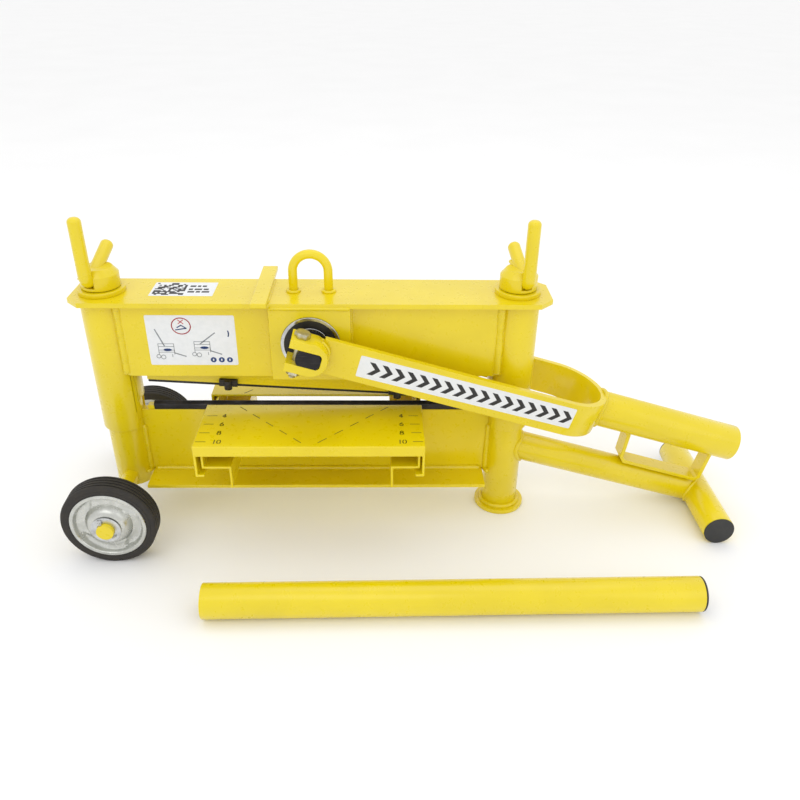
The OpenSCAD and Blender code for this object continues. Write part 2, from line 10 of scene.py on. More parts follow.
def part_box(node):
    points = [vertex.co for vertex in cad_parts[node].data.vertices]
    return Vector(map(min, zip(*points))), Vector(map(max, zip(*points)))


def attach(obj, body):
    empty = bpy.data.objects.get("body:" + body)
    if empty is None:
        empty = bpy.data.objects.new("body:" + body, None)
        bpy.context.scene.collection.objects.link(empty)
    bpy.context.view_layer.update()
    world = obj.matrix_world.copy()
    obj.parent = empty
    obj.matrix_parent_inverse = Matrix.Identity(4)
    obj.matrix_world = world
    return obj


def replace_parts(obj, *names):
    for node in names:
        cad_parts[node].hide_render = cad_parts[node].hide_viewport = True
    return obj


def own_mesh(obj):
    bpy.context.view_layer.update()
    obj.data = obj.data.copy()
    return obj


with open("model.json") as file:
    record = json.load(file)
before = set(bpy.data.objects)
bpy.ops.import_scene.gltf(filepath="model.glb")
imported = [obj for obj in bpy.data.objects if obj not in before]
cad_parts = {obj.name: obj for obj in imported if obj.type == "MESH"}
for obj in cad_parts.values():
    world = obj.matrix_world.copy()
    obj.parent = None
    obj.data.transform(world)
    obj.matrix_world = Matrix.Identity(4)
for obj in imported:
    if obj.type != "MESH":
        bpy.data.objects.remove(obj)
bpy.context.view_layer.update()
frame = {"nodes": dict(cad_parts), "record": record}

MM = 0.001
RECORD = frame["record"]
NODES = frame["nodes"]
rng = random.Random(7)


# ---------- places taken from the frame ----------

def box_mm(node):
    """Lowest and highest corner of a CAD node, in millimetres."""
    low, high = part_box(node)
    return low / MM, high / MM


def centre_mm(node):
    low, high = box_mm(node)
    return (low + high) / 2


LEFT = centre_mm("left_inner_tube")
RIGHT = centre_mm("right_inner_tube")
MIDDLE = Vector(((LEFT.x + RIGHT.x) / 2, LEFT.y, 0))
COLUMN_X = (RIGHT.x - LEFT.x) / 2


def at(x, y, z):
    """A place in metres, from millimetres measured from the middle of the machine."""
    return (MIDDLE + Vector((x, y, z))) * MM


def low_high(node):
    """A CAD node's corners in millimetres from the middle of the machine."""
    low, high = box_mm(node)
    return low - MIDDLE, high - MIDDLE


SOCKET = next(m for m in RECORD["mounts"] if m["name"] == "extension_socket")
ALONG = Vector(SOCKET["axis"]).normalized()
ACROSS = Vector((-ALONG.z, 0, ALONG.x))
PIVOT = centre_mm("bearing_inner_rings") - MIDDLE
FORK_Y = Vector(SOCKET["pos_m"]).y / MM - MIDDLE.y


def lever_at(s, y, n):
    """A place on the lever: s along it from the shaft, n across it, y sideways."""
    p = Vector((PIVOT.x, y, PIVOT.z)) + ALONG * s + ACROSS * n
    return at(p.x, p.y, p.z)


# ---------- materials ----------

def linear(hex_colour):
    """An sRGB hex colour as linear red, green, blue, alpha."""
    out = []
    for i in (0, 2, 4):
        c = int(hex_colour[i:i + 2], 16) / 255
        out.append(c / 12.92 if c <= 0.04045 else ((c + 0.055) / 1.055) ** 2.4)
    return (*out, 1.0)


def add(tree, kind, inputs=None, **settings):
    """Adds a node with its settings; an input is a number, a hex colour or a socket to link."""
    node = tree.nodes.new(kind)
    for key, value in settings.items():
        setattr(node, key, value)
    for key, value in (inputs or {}).items():
        if isinstance(value, bpy.types.NodeSocket):
            tree.links.new(value, node.inputs[key])
        elif isinstance(value, str):
            node.inputs[key].default_value = linear(value)
        else:
            node.inputs[key].default_value = value
    return node


# sockets of a colour mix node: both colours and the result
FIRST, SECOND, MIXED = 6, 7, 2


def new_material(name):
    material = bpy.data.materials.new(name)
    material.use_nodes = True
    tree = material.node_tree
    return material, tree, tree.nodes["Principled BSDF"]


def object_place(tree):
    """Object coordinates in millimetres, so that every pattern has a real size."""
    place = add(tree, "ShaderNodeTexCoord")
    return add(tree, "ShaderNodeVectorMath", {0: place.outputs["Object"], "Scale": 1 / MM},
               operation="SCALE").outputs[0]


def gloss_enamel(name, base, deep, worn, chips):
    """Sprayed and stoved enamel on steel.  The eye sees a wet gloss broken by
    orange peel, slow changes of film thickness, dust nibs, and fine chips where
    parts rub."""
    material, tree, surface = new_material(name)
    where = object_place(tree)
    film = add(tree, "ShaderNodeTexNoise", {"Vector": where, "Scale": 1 / 70, "Detail": 3.0})
    grime = add(tree, "ShaderNodeTexNoise",
                {"Vector": where, "Scale": 1 / 9, "Detail": 5.0, "Roughness": 0.65})
    speck = add(tree, "ShaderNodeTexNoise",
                {"Vector": where, "Scale": 1 / 2.6, "Detail": 6.0, "Roughness": 0.72})
    region = add(tree, "ShaderNodeTexNoise", {"Vector": where, "Scale": 1 / 34, "Detail": 2.0})
    peel = add(tree, "ShaderNodeTexNoise", {"Vector": where, "Scale": 1 / 1.7, "Detail": 1.0})
    swell = add(tree, "ShaderNodeTexNoise", {"Vector": where, "Scale": 1 / 16, "Detail": 2.0})
    thick = add(tree, "ShaderNodeMapRange",
                {"Value": film.outputs["Fac"], "From Min": 0.35, "From Max": 0.65})
    dirty = add(tree, "ShaderNodeMapRange", {"Value": grime.outputs["Fac"], "From Min": 0.56,
                                             "From Max": 0.8, "To Max": 0.35})
    spots = add(tree, "ShaderNodeMapRange", {"Value": speck.outputs["Fac"], "From Min": chips,
                                             "From Max": chips + 0.02})
    rubbed = add(tree, "ShaderNodeMapRange",
                 {"Value": region.outputs["Fac"], "From Min": 0.5, "From Max": 0.62})
    chip = add(tree, "ShaderNodeMath",
               {0: spots.outputs["Result"], 1: rubbed.outputs["Result"]}, operation="MULTIPLY")
    colour = add(tree, "ShaderNodeMix", {"Factor": thick.outputs["Result"], FIRST: base,
                                         SECOND: deep}, data_type="RGBA")
    colour = add(tree, "ShaderNodeMix", {"Factor": dirty.outputs["Result"],
                                         FIRST: colour.outputs[MIXED], SECOND: deep},
                 data_type="RGBA")
    colour = add(tree, "ShaderNodeMix", {"Factor": chip.outputs[0],
                                         FIRST: colour.outputs[MIXED], SECOND: worn},
                 data_type="RGBA")
    tree.links.new(colour.outputs[MIXED], surface.inputs["Base Color"])
    shine = add(tree, "ShaderNodeMapRange", {"Value": grime.outputs["Fac"], "From Min": 0.3,
                                             "From Max": 0.75, "To Min": 0.24, "To Max": 0.40})
    tree.links.new(shine.outputs["Result"], surface.inputs["Roughness"])
    skin_bump = add(tree, "ShaderNodeBump", {"Height": peel.outputs["Fac"], "Strength": 0.5,
                                             "Distance": 0.035 * MM})
    swell_bump = add(tree, "ShaderNodeBump",
                     {"Height": swell.outputs["Fac"], "Strength": 0.35, "Distance": 0.22 * MM,
                      "Normal": skin_bump.outputs["Normal"]})
    chip_bump = add(tree, "ShaderNodeBump",
                    {"Height": chip.outputs[0], "Strength": 0.8, "Distance": -0.06 * MM,
                     "Normal": swell_bump.outputs["Normal"]})
    tree.links.new(chip_bump.outputs["Normal"], surface.inputs["Normal"])
    surface.inputs["Coat Weight"].default_value = 0.35
    surface.inputs["Coat Roughness"].default_value = 0.12
    surface.inputs["IOR"].default_value = 1.52
    return material


def bare_steel(name, base, dull, low_rough, high_rough, grain_mm):
    """Turned, ground or plated steel: a metal with fine tool lines along X and
    cloudy patches where the finish is thicker."""
    material, tree, surface = new_material(name)
    where = object_place(tree)
    stretched = add(tree, "ShaderNodeMapping", {"Vector": where, "Scale": (0.12, 1.0, 1.0)})
    lines = add(tree, "ShaderNodeTexNoise", {"Vector": stretched.outputs[0],
                                             "Scale": 1 / grain_mm, "Detail": 3.0})
    cloud = add(tree, "ShaderNodeTexNoise",
                {"Vector": where, "Scale": 1 / 12, "Detail": 4.0, "Roughness": 0.6})
    patch = add(tree, "ShaderNodeMapRange",
                {"Value": cloud.outputs["Fac"], "From Min": 0.38, "From Max": 0.66})
    colour = add(tree, "ShaderNodeMix", {"Factor": patch.outputs["Result"], FIRST: base,
                                         SECOND: dull}, data_type="RGBA")
    shine = add(tree, "ShaderNodeMapRange",
                {"Value": cloud.outputs["Fac"], "From Min": 0.3, "From Max": 0.7,
                 "To Min": low_rough, "To Max": high_rough})
    marks = add(tree, "ShaderNodeBump", {"Height": lines.outputs["Fac"], "Strength": 0.4,
                                         "Distance": 0.02 * MM})
    tree.links.new(colour.outputs[MIXED], surface.inputs["Base Color"])
    tree.links.new(shine.outputs["Result"], surface.inputs["Roughness"])
    tree.links.new(marks.outputs["Normal"], surface.inputs["Normal"])
    surface.inputs["Metallic"].default_value = 1.0
    return material


def blacked_steel(name, base, bloom, rub):
    """Hot-oiled, blackened tool steel: nearly black, satin, with grey mill marks
    along its length and a rubbed shine where it is touched."""
    material, tree, surface = new_material(name)
    where = object_place(tree)
    stretched = add(tree, "ShaderNodeMapping", {"Vector": where, "Scale": (0.05, 1.0, 1.0)})
    lines = add(tree, "ShaderNodeTexNoise", {"Vector": stretched.outputs[0],
                                             "Scale": 1 / 1.2, "Detail": 4.0})
    cloud = add(tree, "ShaderNodeTexNoise",
                {"Vector": where, "Scale": 1 / 14, "Detail": 5.0, "Roughness": 0.65})
    patch = add(tree, "ShaderNodeMapRange",
                {"Value": cloud.outputs["Fac"], "From Min": 0.4, "From Max": 0.7})
    marks = add(tree, "ShaderNodeMapRange", {"Value": lines.outputs["Fac"], "From Min": 0.58,
                                             "From Max": 0.72, "To Max": 0.5})
    colour = add(tree, "ShaderNodeMix", {"Factor": patch.outputs["Result"], FIRST: base,
                                         SECOND: bloom}, data_type="RGBA")
    colour = add(tree, "ShaderNodeMix", {"Factor": marks.outputs["Result"],
                                         FIRST: colour.outputs[MIXED], SECOND: rub},
                 data_type="RGBA")
    shine = add(tree, "ShaderNodeMapRange",
                {"Value": cloud.outputs["Fac"], "From Min": 0.3, "From Max": 0.7,
                 "To Min": 0.34, "To Max": 0.55})
    grooves = add(tree, "ShaderNodeBump", {"Height": lines.outputs["Fac"], "Strength": 0.5,
                                           "Distance": 0.05 * MM})
    tree.links.new(colour.outputs[MIXED], surface.inputs["Base Color"])
    tree.links.new(shine.outputs["Result"], surface.inputs["Roughness"])
    tree.links.new(grooves.outputs["Normal"], surface.inputs["Normal"])
    surface.inputs["Metallic"].default_value = 0.55
    return material


def moulded(name, base, pale, low_rough, high_rough, grain_mm, depth_mm):
    """Moulded rubber or polyethylene: matt, a fine grain from the mould, and a
    greyish bloom with dust in it."""
    material, tree, surface = new_material(name)
    where = object_place(tree)
    cloud = add(tree, "ShaderNodeTexNoise",
                {"Vector": where, "Scale": 1 / 11, "Detail": 5.0, "Roughness": 0.7})
    grain = add(tree, "ShaderNodeTexNoise",
                {"Vector": where, "Scale": 1 / grain_mm, "Detail": 2.0})
    dusty = add(tree, "ShaderNodeMapRange",
                {"Value": cloud.outputs["Fac"], "From Min": 0.42, "From Max": 0.72})
    colour = add(tree, "ShaderNodeMix", {"Factor": dusty.outputs["Result"], FIRST: base,
                                         SECOND: pale}, data_type="RGBA")
    shine = add(tree, "ShaderNodeMapRange",
                {"Value": cloud.outputs["Fac"], "From Min": 0.3, "From Max": 0.7,
                 "To Min": low_rough, "To Max": high_rough})
    pores = add(tree, "ShaderNodeBump", {"Height": grain.outputs["Fac"], "Strength": 0.6,
                                         "Distance": depth_mm * MM})
    tree.links.new(colour.outputs[MIXED], surface.inputs["Base Color"])
    tree.links.new(shine.outputs["Result"], surface.inputs["Roughness"])
    tree.links.new(pores.outputs["Normal"], surface.inputs["Normal"])
    surface.inputs["IOR"].default_value = 1.5
    return material


def printed_film(name, base, tint, gloss):
    """Printed vinyl film: even colour with faint unevenness where it bridges the
    paint under it, and a soft plastic shine."""
    material, tree, surface = new_material(name)
    where = object_place(tree)
    cloud = add(tree, "ShaderNodeTexNoise", {"Vector": where, "Scale": 1 / 6, "Detail": 3.0})
    paint = add(tree, "ShaderNodeTexNoise", {"Vector": where, "Scale": 1 / 3, "Detail": 1.0})
    uneven = add(tree, "ShaderNodeMapRange",
                 {"Value": cloud.outputs["Fac"], "From Min": 0.35, "From Max": 0.7})
    colour = add(tree, "ShaderNodeMix", {"Factor": uneven.outputs["Result"], FIRST: base,
                                         SECOND: tint}, data_type="RGBA")
    shine = add(tree, "ShaderNodeMapRange",
                {"Value": cloud.outputs["Fac"], "From Min": 0.3, "From Max": 0.7,
                 "To Min": gloss, "To Max": gloss + 0.12})
    ripple = add(tree, "ShaderNodeBump", {"Height": paint.outputs["Fac"], "Strength": 0.4,
                                          "Distance": 0.02 * MM})
    tree.links.new(colour.outputs[MIXED], surface.inputs["Base Color"])
    tree.links.new(shine.outputs["Result"], surface.inputs["Roughness"])
    tree.links.new(ripple.outputs["Normal"], surface.inputs["Normal"])
    return material


ENAMEL = gloss_enamel("yellow_gloss_enamel", "E7D000", "E0C900", "B79E3A", 0.88)
TABLE_ENAMEL = gloss_enamel("yellow_gloss_enamel_scuffed", "EAD400", "E4CC00", "8F8450", 0.87)
ZINC = bare_steel("zinc_plated_pressed_steel", "D9DBDC", "B4B5B6", 0.24, 0.42, 0.8)
GROUND = bare_steel("ground_bearing_steel", "D2D3D4", "A8A9AB", 0.16, 0.30, 0.5)
RIM_ZINC = bare_steel("bright_zinc_pressing", "CDCEC9", "BFC0BA", 0.24, 0.33, 0.6)
BOLT_ZINC = bare_steel("yellow_passivated_zinc", "CFCBB8", "AFAA90", 0.25, 0.42, 0.5)
SPRING = bare_steel("oiled_spring_steel", "8E8C88", "6A6864", 0.3, 0.45, 0.5)
BLADE = blacked_steel("blackened_tool_steel", "2A292B", "3C3A3E", "6B686C")
SHAFT = blacked_steel("blackened_shaft_steel", "1F1E20", "2E2C2E", "55534F")
RUBBER = moulded("solid_rubber_tyre", "262320", "3A352E", 0.62, 0.86, 0.9, 0.08)
PLASTIC = moulded("black_polyethylene_cap", "262625", "363534", 0.42, 0.6, 1.1, 0.04)
SEAL = moulded("nitrile_rubber_seal", "1B1B1B", "2A2A2A", 0.4, 0.55, 0.8, 0.02)
FILM = printed_film("white_vinyl_film", "E6E8EB", "E0E3E6", 0.3)
PRINT_BLACK = printed_film("black_screen_print", "1B1B1D", "2B2B2D", 0.42)
PRINT_RED = printed_film("red_screen_print", "C2242B", "AE1F27", 0.38)
PRINT_BLUE = printed_film("blue_screen_print", "1E3F7C", "19356A", 0.38)
# painted shade: the dark colour inside the slots cut through the tables, made with the film shader
SLOT_PAINTED_SHADE = printed_film("shadowed_cut_edge", "4E430E", "37300C", 0.6)
PRINT_GREY = printed_film("grey_screen_print", "8B9095", "777C82", 0.38)


# ---------- CAD nodes: finish and softened edges ----------

FINISHES = {
    ZINC: ["front_wheel_bush", "rear_wheel_bush", "axle_washers", "left_screw",
           "right_screw", "spindle_nuts", "rocking_pin"],
    GROUND: ["bearing_outer_rings", "bearing_inner_rings", "bearing_balls"],
    BLADE: ["lower_blade", "upper_blade", "blade_clips", "knife_carrier"],
    SHAFT: ["eccentric_shaft"],
    PLASTIC: ["cross_foot_plugs", "extension_plug"],
    SEAL: ["bearing_seals"],
    TABLE_ENAMEL: ["front_table", "rear_table"],
}
FINISH_OF = {node: material for material, nodes in FINISHES.items() for node in nodes}
ROUNDING_MM = {"lever_fork": 0.5, "front_clamp": 0.9, "rear_clamp": 0.9, "grip_bracket": 1.2,
               "top_plate": 1.0, "top_strap": 1.2, "front_table": 1.0, "rear_table": 1.0,
               "front_rails": 1.0, "rear_rails": 1.0, "cross_foot_plugs": 1.2,
               "extension_plug": 1.5,
               "left_hub": 1.2, "right_hub": 1.2, "bearing_balls": 0.0, "bearing_seals": 0.2}
PLAIN_ROUNDING_MM = 0.7


def soften(obj, width_mm):
    """Joins the faces of a CAD mesh and rounds its sharp edges."""
    weld = obj.modifiers.new("join_faces", "WELD")
    weld.merge_threshold = 0.01 * MM
    flat = obj.modifiers.new("flat_faces", "DECIMATE")
    flat.decimate_type = "DISSOLVE"
    flat.angle_limit = math.radians(0.3)
    if width_mm > 0:
        bevel = obj.modifiers.new("rounded_edges", "BEVEL")
        bevel.width = width_mm * MM
        bevel.segments = 3
        bevel.limit_method = "ANGLE"
        bevel.angle_limit = math.radians(38)
        bevel.harden_normals = True


for node_name, node_object in NODES.items():
    node_object.data.materials.clear()
    node_object.data.materials.append(FINISH_OF.get(node_name, ENAMEL))
    soften(node_object, ROUNDING_MM.get(node_name, PLAIN_ROUNDING_MM))


# ---------- making pieces ----------

def piece(name, mesh, body, material, smooth_angle=40.0):
    """Turns a bmesh into an object that rides on a CAD body."""
    bmesh.ops.recalc_face_normals(mesh, faces=mesh.faces)
    data = bpy.data.meshes.new(name)
    mesh.to_mesh(data)
    mesh.free()
    data.materials.append(material)
    data.shade_smooth()
    data.set_sharp_from_angle(angle=math.radians(smooth_angle))
    obj = bpy.data.objects.new(name, data)
    bpy.context.scene.collection.objects.link(obj)
    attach(obj, body)
    return obj


def skin(mesh, rings, closed_ring=True, closed_path=False, caps=True):
    """Joins rings of points, in metres, into a surface."""
    made = [[mesh.verts.new(p) for p in ring] for ring in rings]
    count = len(made)
    steps = range(count) if closed_path else range(count - 1)
    for i in steps:
        a, b = made[i], made[(i + 1) % count]
        edge = range(len(a)) if closed_ring else range(len(a) - 1)
        for k in edge:
            j = (k + 1) % len(a)
            mesh.faces.new((a[k], a[j], b[j], b[k]))
    if caps and closed_ring and not closed_path:
        mesh.faces.new(made[0])
        mesh.faces.new(made[-1])
    return made


def lathe(mesh, profile, origin, axis, turns=96, shape=None):
    """Spins a closed outline of (radius, height) millimetre pairs about an axis.
    shape may change a pair at each angle."""
    axis = Vector(axis).normalized()
    side = axis.orthogonal().normalized()
    up = axis.cross(side)
    rings = []
    for i in range(turns):
        a = 2 * math.pi * i / turns
        out = side * math.cos(a) + up * math.sin(a)
        pairs = [shape(r, h, a) for r, h in profile] if shape else profile
        rings.append([origin + (out * r + axis * h) * MM for r, h in pairs])
    skin(mesh, rings, closed_path=True, caps=False)


def resample(points, spacing, closed):
    """Even steps along a line of points."""
    pts = [Vector(p) for p in points]
    if closed:
        pts.append(pts[0])
    lengths = [(b - a).length for a, b in zip(pts, pts[1:])]
    total = sum(lengths)
    count = max(3, round(total / spacing))
    out, seg, gone = [], 0, 0.0
    for i in range(count if closed else count + 1):
        want = total * i / count
        while seg < len(lengths) - 1 and gone + lengths[seg] < want:
            gone += lengths[seg]
            seg += 1
        t = (want - gone) / lengths[seg] if lengths[seg] else 0
        out.append(pts[seg].lerp(pts[seg + 1], min(max(t, 0), 1)))
    return out


def sweep(mesh, points, radius_at, sides=10, closed=False):
    """A round section carried along a line; radius_at gives metres for each step."""
    count = len(points)
    rings = []
    normal = None
    for i, p in enumerate(points):
        before = points[i - 1] if (i or closed) else p
        after = points[(i + 1) % count] if (i < count - 1 or closed) else p
        along = (after - before).normalized()
        if normal is None:
            normal = along.orthogonal().normalized()
        normal = (normal - along * normal.dot(along)).normalized()
        other = along.cross(normal)
        r = radius_at(i)
        rings.append([p + (normal * math.cos(2 * math.pi * k / sides)
                           + other * math.sin(2 * math.pi * k / sides)) * r
                      for k in range(sides)])
    skin(mesh, rings, closed_path=closed)


RIPPLE_MM = 2.8
BEAD_STEP_MM = 0.9


def add_bead(mesh, points, radius_mm, closed=False):
    """A weld bead: a round run with ripples and an uneven width."""
    path = resample(points, BEAD_STEP_MM * MM, closed)
    phase = rng.random() * math.tau
    slow = [rng.uniform(-1, 1) for _ in range(len(path) // 8 + 3)]

    def radius(i):
        ripple = abs(math.sin(math.pi * i * BEAD_STEP_MM / RIPPLE_MM + phase))
        k, t = divmod(i, 8)
        uneven = slow[k] * (1 - t / 8) + slow[k + 1] * t / 8
        taper = 1.0
        if not closed:
            end = min(i, len(path) - 1 - i)
            taper = min(1.0, 0.45 + 0.2 * end)
        return radius_mm * MM * (0.84 + 0.16 * ripple + 0.12 * uneven) * taper

    sweep(mesh, path, radius, closed=closed)


def weld_piece(name, runs, body):
    """Several weld runs, each (points, radius in mm, closed), as one piece."""
    mesh = bmesh.new()
    for points, radius_mm, closed in runs:
        add_bead(mesh, points, radius_mm, closed)
    return piece(name, mesh, body, ENAMEL, 80.0)


def ring_points(centre, axis, radius_mm, count=48):
    axis = Vector(axis).normalized()
    side = axis.orthogonal().normalized()
    up = axis.cross(side)
    return [centre + (side * math.cos(math.tau * i / count) + up * math.sin(math.tau * i / count))
            * radius_mm * MM for i in range(count)]


# ---------- weld seams ----------

web_low, web_high = low_high("front_web")
tube_low, tube_high = low_high("left_outer_tube")
TUBE_R = (tube_high.x - tube_low.x) / 2
WEB_END = COLUMN_X - TUBE_R
bearing_low, bearing_high = low_high("front_bearing_plate")
flange_low, flange_high = low_high("base_flange")
beam_low, beam_high = low_high("base_web")
inner_low, inner_high = low_high("right_inner_tube")
INNER_R = (inner_high.x - inner_low.x) / 2

frame_seams = []
for face in (-1, 1):
    web_y = face * abs(web_low.y)
    plate_y = face * abs(bearing_low.y)
    for end in (-1, 1):
        x = end * (WEB_END + 6.5)
        frame_seams.append(([at(x, face * 23.8, web_low.z + 1), at(x, face * 23.8, web_high.z - 2)],
                            5.6, False))
        x = end * bearing_high.x
        frame_seams.append(([at(x, web_y, bearing_low.z + 2), at(x, web_y, bearing_high.z - 1)],
                            3.0, False))
        frame_seams.append(([at(x, web_y, web_high.z), at(end * WEB_END, web_y, web_high.z)],
                            2.6, False))
    frame_seams.append(([at(-bearing_high.x, plate_y, bearing_high.z),
                         at(bearing_high.x, plate_y, bearing_high.z)], 2.8, False))
for end in (-1, 1):
    frame_seams.append((ring_points(at(end * COLUMN_X, 0, web_high.z - 0.5), (0, 0, 1), TUBE_R),
                        2.4, True))
weld_piece("frame_welds", frame_seams, "upper_frame")

eye_low, eye_high = low_high("lifting_eye")
EYE_ROD_R = (eye_high.y - eye_low.y) / 2
strap_low, strap_high = low_high("top_strap")
plate_low, plate_high = low_high("top_plate")
top_seams = [(ring_points(at(x, 0, eye_low.z + 1.2), (0, 0, 1), EYE_ROD_R + 1.2), 2.4, True)
             for x in (eye_low.x + EYE_ROD_R, eye_high.x - EYE_ROD_R)]
for x in (strap_low.x, strap_high.x):
    top_seams.append(([at(x, plate_low.y + 5, strap_low.z), at(x, plate_high.y - 5, strap_low.z)],
                      1.7, False))
weld_piece("top_welds", top_seams, "upper_frame")

base_seams = []
for face in (-1, 1):
    y = face * beam_high.y
    base_seams.append(([at(-WEB_END + 2, y + face, flange_high.z + 0.5),
                        at(WEB_END - 2, y + face, flange_high.z + 0.5)], 4.2, False))
    for end in (-1, 1):
        x = end * (COLUMN_X - INNER_R + 0.6)
        base_seams.append(([at(x, y, flange_high.z), at(x, y, beam_high.z - 22)], 4.4, False))
for end in (-1, 1):
    arc = [at(end * (COLUMN_X - math.cos(a) * (INNER_R + 1)), math.sin(a) * (INNER_R + 1),
              flange_high.z - 1) for a in [math.radians(d) for d in range(-38, 39, 4)]]
    base_seams.append((arc, 3.2, False))
base_seams.append((ring_points(at(COLUMN_X, 0, 7.2), (0, 0, 1), INNER_R + 1), 3.6, True))
for side in (-1, 1):
    rail_low, rail_high = low_high("front_rails")
    for front in (-1, 1):
        y = front * beam_high.y
        base_seams.append(([at(side * 99, y, rail_low.z + 3), at(side * 99, y, rail_low.z + 28)],
                           2.6, False))
weld_piece("base_welds", base_seams, "base")

leg_low, leg_high = low_high("leg_tube")
foot_low, foot_high = low_high("cross_foot")
FOOT_R = (foot_high.z - foot_low.z) / 2
FOOT_X = foot_high.x - FOOT_R
LEG_R = (leg_high.y - leg_low.y) / 2
LEG_START_Z = 100.4
leg_run = Vector((FOOT_X - COLUMN_X, 0, FOOT_R - LEG_START_Z))
leg_dir = leg_run.normalized()
leg_up = Vector((-leg_dir.z, 0, leg_dir.x))


def leg_line(angle):
    """A point on the leg's surface line, at the column's axis, and the direction."""
    return Vector((COLUMN_X, 0, LEG_START_Z)) + (leg_up * math.cos(angle)
                                                 + Vector((0, 1, 0)) * math.sin(angle)) * LEG_R


column_cut, foot_cut = [], []
for step in range(64):
    p = leg_line(math.tau * step / 64)
    reach = (math.sqrt(max(INNER_R ** 2 - p.y ** 2, 0)) - (p.x - COLUMN_X)) / leg_dir.x
    q = p + leg_dir * reach
    column_cut.append(at(q.x, q.y, q.z))
    # distance along the leg to the cross foot's surface
    d = Vector((p.x - FOOT_X, 0, p.z - FOOT_R))
    b = d.dot(leg_dir)
    c = d.length_squared - FOOT_R ** 2
    root = math.sqrt(max(b * b - c, 0))
    q = p + leg_dir * (-b - root)
    foot_cut.append(at(q.x, q.y, q.z))
weld_piece("leg_welds", [(column_cut, 3.2, True), (foot_cut, 3.0, True)], "base")

fork_low, fork_high = low_high("lever_fork")
FORK_R = (fork_high.y - fork_low.y) / 2
SOCKET_R = 23.9
SOCKET_MOUTH = Vector(SOCKET["pos_m"]) / MM - MIDDLE + ALONG * SOCKET["dims"]["length_mm"] / 2
SOCKET_END = (SOCKET_MOUTH - PIVOT).dot(ALONG)
FORK_END = SOCKET_END - SOCKET["dims"]["length_mm"] - 1.3
FORK_CENTRE = FORK_END - FORK_R
socket_cut = []
for step in range(64):
    a = math.tau * step / 64
    y = SOCKET_R * math.sin(a)
    socket_cut.append(lever_at(FORK_CENTRE + math.sqrt(FORK_R ** 2 - y * y) + 0.6, FORK_Y + y,
                               SOCKET_R * math.cos(a)))
lever_seams = [(socket_cut, 3.3, True)]
for s in (438.5, 561.5):
    for y in (-12.5, 12.5):
        n_end = -math.sqrt(SOCKET_R ** 2 - 12.5 ** 2)
        lever_seams.append(([lever_at(s - 3, FORK_Y + y, n_end), lever_at(s + 3, FORK_Y + y, n_end)],
                            2.4, False))
CLAMP_GAP = 63
for side in (-1, 1):
    y = FORK_Y + side * (CLAMP_GAP - 6)
    for face in (-1, 1):
        lever_seams.append(([lever_at(23 - 15 * abs(n / 21) ** 3, y + face * 4, n)
                             for n in range(-20, 21, 2)], 2.2, False))
weld_piece("lever_welds", lever_seams, "lever")

# grip bars: one bar bent into a V with domed ends, welded to the hub
GRIP_R = 7.8
BEND_R = 9
for side, body in ((-1, "left_spindle"), (1, "right_spindle")):
    node = ("left" if side < 0 else "right") + "_grips"
    top = low_high(node)[1].z - 0.2
    foot = Vector((side * (COLUMN_X + 8), -24, 330))
    yaw = math.radians(101)
    back = Vector((side * math.cos(yaw), math.sin(yaw), 0))
    lean = math.radians(60.3)
    slope = back * math.sin(lean) + Vector((0, 0, math.cos(lean)))
    bend = foot + back * BEND_R + Vector((0, 0, BEND_R / math.tan(lean / 2)))
    route = [Vector((foot.x, foot.y, top)), Vector((foot.x, foot.y, bend.z))]
    for step in range(1, 16):
        a = math.pi + (math.pi - lean) * step / 15
        route.append(bend + back * BEND_R * math.cos(a) + Vector((0, 0, BEND_R * math.sin(a))))
    route.append(foot + slope * 73.6)
    points = resample([at(p.x, p.y, p.z) for p in route], 1.0 * MM, False)

    def domed(i, last=len(points) - 1):
        near = min(i, last - i)
        return GRIP_R * MM * (math.sqrt(1 - (1 - near / 6) ** 2) * 0.9 + 0.1 if near < 6 else 1)

    mesh = bmesh.new()
    sweep(mesh, points, domed, sides=40)
    bar = piece(node + "_bent_bar", mesh, body, ENAMEL, 60.0)
    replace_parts(bar, node)
    hub_top = low_high(node.replace("grips", "hub"))[1].z
    seam = []
    for step in range(9):
        t = 24 + 34 * step / 8
        spot = foot + slope * t + Vector((-back.y, back.x, 0)) * 7.2
        seam.append(at(spot.x, spot.y, min(spot.z, hub_top + 0.6)))
    front = [at(foot.x + 9.5 * math.sin(a), foot.y - 2 + 7 * math.cos(a), 341.6)
             for a in (-1.2, -0.9, -0.6)]
    weld_piece(body + "_welds", [(seam, 2.4, False), (front, 2.2, False)], body)



# ---------- wheels ----------

GROOVES_MM = (-7.6, -2.6, 2.6, 7.6)


